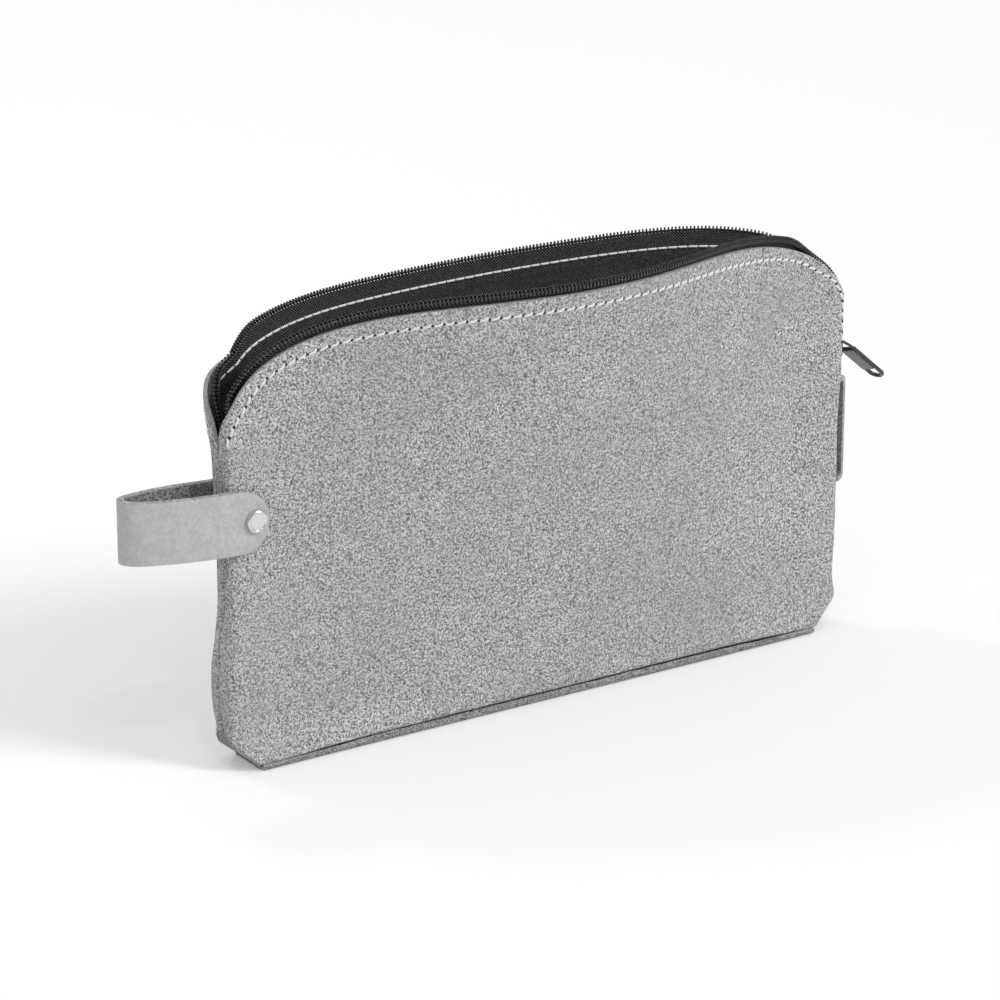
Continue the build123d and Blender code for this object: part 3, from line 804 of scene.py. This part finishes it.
# Linings below the tapes
lining = dict(inset=1.8, thickness=0.45, gap=0.5, ripple=2.2, rippleBias=0.3, below=0.2,
              topFrom=114.0)
for name, wall in walls.items():
    depth = tape["hidden"] + lining["below"]
    route = shifted(zipRoute(wall, False, tape["drop"] + seamStep), -depth)
    top = [point for point in route if point[1] >= lining["topFrom"]]
    left, right = (sideLine(wall, end, lining["gap"], ends[end]["slot"] - tape["drop"] - seamStep,
                            depth, corner[1], False)
                   for end, corner in ((-1, top[0]), (1, top[-1])))
    left[-1], right[-1] = top[0], top[-1]
    spot = patchOf(bottomLine(lining["gap"]), top, left, right)

    def place(u, v):
        x, z = spot(u, v)
        wave = noise.noise(Vector((x / 10, wall["side"] * 4.0, z / 40))) + lining["rippleBias"]
        calm = min(level(v, 0, 0.15), level(1 - v, 0, 0.06),
                   level(u, 0, 0.12), level(1 - u, 0, 0.12))
        loose = lining["ripple"] * max(wave, 0) * calm
        return wallPoint(wall, x, z, lining["inset"] + loose), (x * mm, z * mm)

    mesh = layGrid(name + "LiningCloth", 160, 80, place, turnOver=wall["side"] > 0)
    cloth = newPiece(name + "LiningCloth", mesh, "bag", [liningCloth],
                     [name + "_lining"])
    thicken(cloth, lining["thickness"])
print("linings made")


# Base: a folded strip with a rounded lip along both long sides, and an end flap at each corner
base = dict(thickness=1.4, rise=0.15, past=0.3, edgeRadius=1.9, ragged=0.18)
flap = dict(thickness=1.2, foot=0.3, climb=1.8, past=0.5, inward=0.4, sag=1.2)


def basePlace(u, v):
    x = u * (ends[-1]["baseHalf"] + ends[1]["baseHalf"]) - ends[-1]["baseHalf"]
    share = abs(x) / ends[endOf(x)]["baseHalf"]
    half = bag["baseDepth"] + (ends[endOf(x)]["baseDepth"] - bag["baseDepth"]) * share ** 6
    half += base["past"]
    lip = rimAt(x) + base["rise"]
    radius = min(base["edgeRadius"], lip)
    girth = 2 * half - 2 * radius + pi * radius + 2 * (lip - radius)
    s = (v - 0.5) * girth
    side = -1 if s < 0 else 1
    far = abs(s)
    flatHalf = half - radius
    if far < flatHalf:
        y, z = far, 0.0
    elif far < flatHalf + radius * pi / 2:
        angle = (far - flatHalf) / radius
        y, z = flatHalf + radius * sin(angle), radius * (1 - cos(angle))
    else:
        climb = far - flatHalf - radius * pi / 2
        y, z = half - 0.5 * climb ** 2, radius + climb
    ragged = noise.noise(Vector((x / 5, side * 3.0, 1.0))) * base["ragged"]
    z += ragged * level(z, 0.6 * lip, lip)
    return Vector((x, side * y, z)) * mm, (x * mm, s * mm)


mesh = layGrid("baseStrip", 200, 28, basePlace, turnOver=True)
# the strip is painted darker than the panels, as painted shade
strip = newPiece("baseStrip", mesh, "bag", [suedeLipShaded, suedeEdge], ["base_panel"])
thicken(strip, base["thickness"], rimMaterial=1, roundEdge=0.3)

for end, label in ((-1, "left"), (1, "right")):
    def flapPlace(u, v):
        # v runs up the slanting corner, u across it from the front panel to the back one
        top = ends[end]["cornerTop"]
        z = flap["foot"] + (top + flap["past"]) * v
        edges = []
        for wall in walls.values():
            climb = level(z, flap["climb"], top)
            low, high = ends[end]["baseHalf"] - flap["inward"], seamX(wall, end, top)
            edges.append(wallPoint(wall, end * (low + (high - low) * climb),
                                   max(z, flap["climb"]), bag["leather"] - flap["inward"]))
        point = edges[0].lerp(edges[1], u)
        point.z = z * mm
        point.x -= end * flap["sag"] * mm * 4 * u * (1 - u) * 4 * v * (1 - v) * 0.5
        return point, ((u - 0.5) * 18 * mm, v * 20 * mm)

    mesh = layGrid(label + "EndFlap", 20, 20, flapPlace, turnOver=end > 0)
    # the flaps are painted darker than the panels, as painted shade
    piece = newPiece(label + "EndFlap", mesh, "bag", [suedeLipShaded, suedeEdge])
    thicken(piece, flap["thickness"], rimMaterial=1)

floorLining = dict(low=-117.0, high=112.8, depth=7.9, z=2.1, wave=0.15, thickness=0.45)


def floorPlace(u, v):
    x = floorLining["low"] + (floorLining["high"] - floorLining["low"]) * u
    y = (v * 2 - 1) * floorLining["depth"]
    z = floorLining["z"] + floorLining["wave"] * noise.noise(Vector((x / 15, y / 8, 2.0)))
    return Vector((x, y, z)) * mm, (x * mm, y * mm)


mesh = layGrid("baseLiningCloth", 80, 10, floorPlace)
cloth = newPiece("baseLiningCloth", mesh, "bag", [liningCloth], ["base_lining"])
thicken(cloth, floorLining["thickness"])
print("base made")


# Straps: bands of smooth leather with raw edges, laid along a line of points
def strapAlong(name, line, width, roundEnd, body, replaced, origin, across, segments):
    run = measured(line)

    def place(u, v):
        distance = u * run[-1]
        half = width / 2
        for edge in (distance, run[-1] - distance):
            if edge < roundEnd:
                half = min(half, width / 2 - roundEnd
                           + sqrt(max(roundEnd ** 2 - (roundEnd - edge) ** 2, 0)))
        point = pickAlong(line, run, distance) + across * ((v - 0.5) * 2 * half)
        return (point + origin) * mm, (distance * mm, (v - 0.5) * 2 * half * mm)

    mesh = layGrid(name, segments, 12, place)
    return newPiece(name, mesh, body, [strapSkin, strapFlesh, strapEdge],
                    replaced)


def faceOut(bm, distanceOf, outwards):
    # turns all faces over where the face with the least distance looks inwards
    probe = min(bm.faces, key=distanceOf)
    if probe.normal.dot(outwards) < 0:
        bmesh.ops.reverse_faces(bm, faces=bm.faces)


handLoop = dict(thickness=2.5, width=22.0, z=91.0, roundEnd=10.6, wobble=0.35,
                tipSpan=(-166, -118), tips=(0.8, -1.0))
# the outer face seen from above, from the front end round the fold to the back end
loopPath = [(-115, -8.9), (-126, -8.9), (-134, -9.0), (-142, -8.5), (-150, -7.3), (-157, -5.4),
            (-163.4, -3.4), (-167.2, 1.4), (-164.6, 6.6), (-158, 8.2), (-150, 9.4), (-142, 9.7),
            (-134, 9.2), (-126, 8.9), (-115, 8.9)]


def rounded(path, rounds=4):
    # cuts the corners of a path again and again, and keeps its two ends
    for _ in range(rounds):
        cut = [path[0]]
        for a, b in zip(path, path[1:]):
            cut.append(a.lerp(b, 0.25))
            cut.append(a.lerp(b, 0.75))
        path = cut + [path[-1]]
    return path


line = rounded([Vector((x, y, 0)) for x, y in loopPath])
strap = strapAlong("handLoopStrap", line, handLoop["width"], handLoop["roundEnd"], "hand_loop",
                   ["hand_loop"], Vector((0, 0, handLoop["z"])), Vector((0, 0, 1)), 180)
bm = bmesh.new()
bm.from_mesh(strap.data)
for vert in bm.verts:
    # the loop tips down a little towards the rivets
    vert.co.z += (noise.noise(vert.co * 30) * handLoop["wobble"]) * mm
    vert.co.z += level(vert.co.x / mm, *handLoop["tipSpan"], *handLoop["tips"]) * mm
bmesh.ops.recalc_face_normals(bm, faces=bm.faces)
faceOut(bm, lambda face: face.calc_center_median().x, Vector((-1, 0, 0)))
bm.to_mesh(strap.data)
bm.free()
thicken(strap, handLoop["thickness"], shellMaterial=1, rimMaterial=2, roundEdge=0.45)
print("hand loop made")

# Rivet caps, turned about the rivet's axis
rivet = dict(x=-120.3, z=90.3, radius=4.0, height=1.55, seat=8.95, steps=48, sharpFrom=30)
for end, label in ((-1, "front"), (1, "back")):
    bm = bmesh.new()
    r, h = rivet["radius"], rivet["height"]
    profile = [(0.0, 0.72 * h), (0.55 * r, 0.74 * h), (0.72 * r, 0.8 * h), (0.8 * r, 0.97 * h),
               (0.88 * r, h), (0.96 * r, 0.88 * h), (r, 0.6 * h), (r, 0.1 * h), (0.93 * r, 0.0),
               (0.0, 0.0)]
    points = [bm.verts.new((away * mm, 0, out * mm)) for away, out in profile]
    edges = [bm.edges.new(pair) for pair in zip(points, points[1:])]
    bmesh.ops.spin(bm, geom=points + edges, cent=(0, 0, 0), axis=(0, 0, 1), angle=2 * pi,
                   steps=rivet["steps"], use_merge=True)
    bmesh.ops.remove_doubles(bm, verts=bm.verts, dist=0.01 * mm)
    bmesh.ops.recalc_face_normals(bm, faces=bm.faces)
    turn = Matrix.Rotation(-end * pi / 2, 4, "X")
    place = Matrix.Translation(Vector((rivet["x"], end * rivet["seat"], rivet["z"])) * mm)
    bmesh.ops.transform(bm, matrix=place @ turn, verts=bm.verts)
    cap = newPiece(label + "RivetCap", meshOf(bm, label + "RivetCap"), "bag",
                   [rivetMetal], [label + "_rivet_cap"])
    settle(cap, rivet["sharpFrom"])
print("rivets made")

# Side loop at the right end
sideLoop = dict(angle=30.0, low=53.5, high=94.0, width=12.0, thickness=2.2, standoff=3.4,
                end=128.6, bend=3.0, corner=3.2, endDepth=6.0, foot=0.35, probe=76)
turned = radians(sideLoop["angle"])
outward = Vector((cos(turned), sin(turned), 0))
acrossLoop = Vector((sin(turned), -cos(turned), 0))
seat = Vector((sideLoop["end"] - sideLoop["corner"] + sideLoop["corner"] * cos(turned),
               sideLoop["endDepth"] - sideLoop["corner"] + sideLoop["corner"] * sin(turned), 0))
reach = sideLoop["standoff"] + sideLoop["thickness"]
bendOut = sideLoop["bend"]
loopLine = [(sideLoop["foot"], sideLoop["low"])]
for centreZ, start in ((sideLoop["low"] + bendOut, -pi / 2), (sideLoop["high"] - bendOut, 0.0)):
    loopLine += [(reach - bendOut + bendOut * cos(angle), centreZ + bendOut * sin(angle))
                 for angle in between(start, start + pi / 2, 8)]
loopLine.append((sideLoop["foot"], sideLoop["high"]))
line = [outward * x + Vector((0, 0, z)) for x, z in loopLine]
strap = strapAlong("sideLoopStrap", line, sideLoop["width"], 0, "bag", ["side_loop"], seat,
                   acrossLoop, 90)
bm = bmesh.new()
bm.from_mesh(strap.data)
faceOut(bm, lambda face: abs(face.calc_center_median().z / mm - sideLoop["probe"]), outward)
bm.to_mesh(strap.data)
bm.free()
thicken(strap, sideLoop["thickness"], shellMaterial=1, rimMaterial=2, roundEdge=0.35)
bar = dict(up=5.5, count=3, pitch=2.8, start=-4.0, stop=-1.8, proud=0.1, rise=0.05, dip=0.5,
           radius=0.28)
bars = []
for z in (sideLoop["low"] + bar["up"], sideLoop["high"] - bar["up"]):
    for k in range(bar["count"]):
        first, last = (seat + outward * (reach + bar["proud"])
                       + acrossLoop * (bar[key] + k * bar["pitch"]) for key in ("start", "stop"))
        dip, rise = outward * bar["dip"], outward * bar["rise"]
        bars.append([spot * mm + Vector((0, 0, z * mm))
                     for spot in (first - dip, first + rise, last + rise, last - dip)])
tubes("sideLoopThread", bars, bar["radius"], threadWhite, smooth=True,
      replaced=["side_loop_stitches"])
print("side loop made")

# Pull: a cast frame with a recessed web and a window at its tip, hanging slightly twisted
pull = dict(hinge=Vector((130.35, 0, 108.3)), drop=41.0, length=26.8, halfWidth=2.65, frame=0.75,
            neck=6.4, neckRadius=0.52, window=19.6, twist=-19.0, twistFrom=0.6, twistTo=5.0,
            web=0.8, past=0.3, steps=16)
hang = radians(pull["drop"])
pullAlong = Vector((cos(hang), 0, -sin(hang)))
pullFace = Vector((-sin(hang), 0, -cos(hang)))


def pullSpot(along, across, out=0.0):
    turnedBy = radians(pull["twist"]) * ease(along, pull["twistFrom"], pull["twistTo"])
    width = Vector((0, 1, 0)) * cos(turnedBy) - pullFace * sin(turnedBy)
    face = pullFace * cos(turnedBy) + Vector((0, 1, 0)) * sin(turnedBy)
    return (pull["hinge"] + pullAlong * along + width * across + face * out) * mm


half, tip = pull["halfWidth"], pull["length"] - pull["halfWidth"] - pull["frame"]
rail = [(x, half) for x in between(pull["neck"], tip, pull["steps"])]
bow = [(tip + half * sin(pi * i / pull["steps"]), half * cos(pi * i / pull["steps"]))
       for i in range(1, pull["steps"])]
outline = rail + bow + [(x, -y) for x, y in reversed(rail)]
frameLines = [[pullSpot(*spot) for spot in outline]]
frameLines += [[pullSpot(along, -half), pullSpot(along, half)]
               for along in (pull["neck"] + pull["past"], pull["window"])]
tubes("pullFrame", frameLines, pull["frame"], blackMetal, sides=12, body="pull",
      replaced=["pull_tab"])
neckLines = [[pullSpot(x, half * side) for x in (0.0, pull["neck"] * 0.5, pull["neck"])]
             for side in (-1, 1)]
neckLines.append([pullSpot(0, side * (half + pull["past"])) for side in (-1, 1)])
tubes("pullNeck", neckLines, pull["neckRadius"], blackMetal, sides=10, body="pull")


def webPlace(u, v):
    along = pull["neck"] + (pull["window"] - pull["neck"]) * u
    across = (v * 2 - 1) * half
    return pullSpot(along, across, pull["web"] / 2), (along * mm, across * mm)


web = newPiece("pullWeb", layGrid("pullWeb", 24, 6, webPlace), "pull", [webMetal])
thicken(web, pull["web"])
print("pull made")

# Finishes for the pieces kept from the frame
kept = {"slider_body": blackMetal, "zip_bottom_stop": blackMetal,
        "zip_top_stops": blackMetal, "front_rivet_post": rivetMetal,
        "back_rivet_post": rivetMetal}
for node, material in kept.items():
    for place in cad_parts[node].material_slots:
        place.material = material

# Floor, backdrop, lights and camera
studio = dict(floor=0.86, glow=0.2, world=0.58, mirror=0.3, size=6.0, below=0.02, key=1.42,
              keyAngle=19.0, keyAt=(0.95, -1.15, 1.1), keyAim=(-0.95, 1.15, -1.02))
# the other lamps: place, target, size and power
lamps = {"glintLight": ((-0.45, -1.0, 1.5), (0, 0, 0.12), 0.12, 1.6),
         "fillLight": ((-1.3, -0.7, 0.9), (0, 0, 0.08), 1.2, 1.5),
         "rimLight": ((-0.35, 0.9, 1.3), (0, 0, 0.12), 0.2, 2.0)}


def paleMaterial(name, value, glow):
    material, tree, _, _ = startMaterial(name)
    tree.nodes.clear()
    out = put(tree, "OutputMaterial")
    matt = put(tree, "BsdfDiffuse", {"Color": grey(value)})
    path = put(tree, "LightPath")
    seen = mathNode(tree, "MAXIMUM", path.outputs["Is Camera Ray"], path.outputs["Is Glossy Ray"])
    light = put(tree, "Emission", {"Color": grey(1.0)},
                {"Strength": mathNode(tree, "MULTIPLY", seen, glow)})
    both = put(tree, "AddShader", links={0: matt.outputs[0], 1: light.outputs[0]})
    tree.links.new(both.outputs[0], out.inputs["Surface"])
    return material


bm = bmesh.new()
bmesh.ops.create_grid(bm, x_segments=1, y_segments=1, size=studio["size"])
bmesh.ops.translate(bm, verts=bm.verts, vec=(0, 0, -studio["below"] * mm))
mesh = meshOf(bm, "studioFloor")
floor = addObject("studioFloor", mesh)
mesh.materials.append(paleMaterial("floorPale", studio["floor"], studio["glow"]))

world = bpy.data.worlds.new("studioWorld")
bpy.context.scene.world = world
world.use_nodes = True
tree = world.node_tree
tree.nodes.clear()
path = put(tree, "LightPath")
mirrored = put(tree, "Mix", {2: studio["world"], 3: studio["mirror"]},
               {0: path.outputs["Is Glossy Ray"]}, data_type="FLOAT")
strength = put(tree, "Mix", {3: 1.0}, {2: mirrored.outputs[0], 0: path.outputs["Is Camera Ray"]},
               data_type="FLOAT")
sky = put(tree, "Background", {"Color": grey(1.0)}, {"Strength": strength.outputs[0]})
put(tree, "OutputWorld", links={"Surface": sky.outputs[0]})


def addLamp(name, kind, place, aim, power):
    lamp = bpy.data.lights.new(name, kind)
    lamp.energy = power
    turn = Vector(aim).to_track_quat("-Z", "Y").to_matrix().to_4x4()
    addObject(name, lamp).matrix_world = Matrix.Translation(place) @ turn
    return lamp


sun = addLamp("keyLight", "SUN", studio["keyAt"], studio["keyAim"], studio["key"])
sun.angle = radians(studio["keyAngle"])
for name, (place, target, size, power) in lamps.items():
    lamp = addLamp(name, "AREA", place, Vector(target) - Vector(place), power)
    lamp.shape = "SQUARE"
    lamp.size = size

view = dict(azimuth=-33.49, elevation=19.35, distance=1.53514, lens=158.61,
            target=(-0.01691, 0.0, 0.07503))
az, el = radians(view["azimuth"]), radians(view["elevation"])
right = Vector((cos(az), sin(az), 0))
backward = Vector((sin(az) * cos(el), -cos(az) * cos(el), sin(el)))
upward = backward.cross(right)
lens = bpy.data.cameras.new("photoCamera")
lens.lens = view["lens"]
lens.sensor_width = 36.0
lens.clip_start = 0.05
lens.clip_end = 30
camera = addObject("photoCamera", lens)
pose = Matrix((right, upward, backward)).transposed().to_4x4()
pose.translation = Vector(view["target"]) + backward * view["distance"]
camera.matrix_world = pose
bpy.context.scene.camera = camera
bpy.context.scene.view_settings.view_transform = "Standard"
print("camera and lights set")
